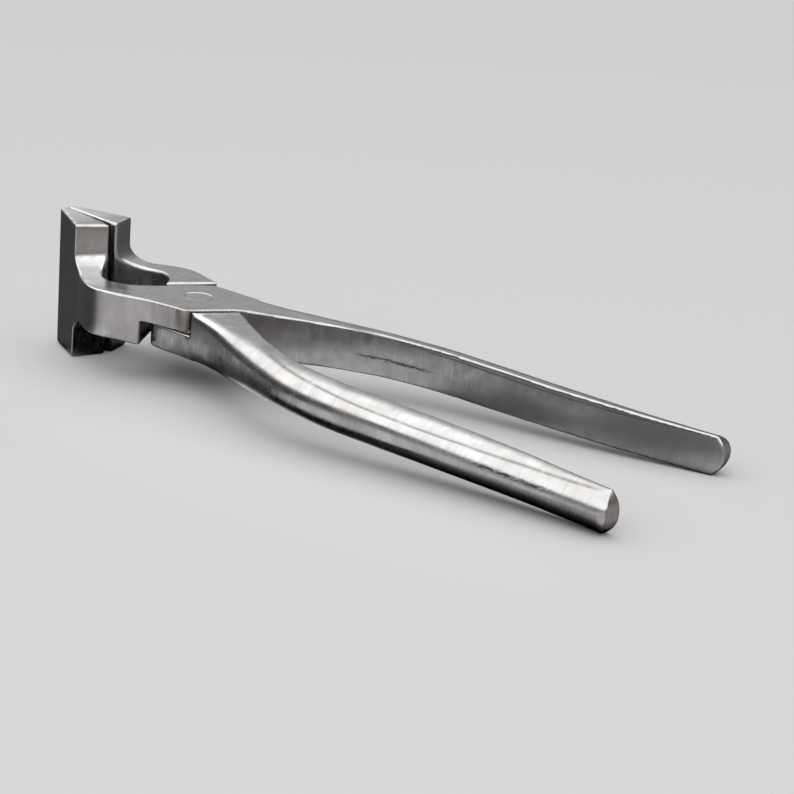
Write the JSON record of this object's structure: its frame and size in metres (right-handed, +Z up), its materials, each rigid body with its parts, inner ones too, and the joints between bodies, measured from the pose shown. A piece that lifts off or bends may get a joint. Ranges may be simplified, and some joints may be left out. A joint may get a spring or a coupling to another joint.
{
  "type": "leather flattening pliers",
  "caption": "Hand pliers with wide flat T-shaped jaws for pressing folded leather, two half-lapped forged steel levers on a flush rivet, with bowed D-section handles.",
  "frame": {"origin": "middle of the footprint, on the surface that the tool lies on", "axes": "+X along the tool towards the handle ends, +Y towards the front lever's handle, +Z up; the rivet's axis leans 4.5 degrees from +Z towards +X, because the tool lies on its jaws and handle ends"},
  "size_m": [0.1988, 0.0586, 0.0402],
  "materials": {
    "lever_steel": "satin, ground across the forging",
    "rivet_steel": "ground flush with the joint"
  },
  "bodies": {
    "front": {"front_lever": "lever_steel", "pivot_rivet": "rivet_steel"},
    "rear": {"rear_lever": "lever_steel"}
  },
  "joints": [
    {"name": "rivet_pivot", "type": "hinge", "parent": "front", "child": "rear", "pos_m": [-0.04512, 0, 0.01607], "axis": [-0.0789, 0, -0.9969], "range_deg": [0, 60]}
  ]
}
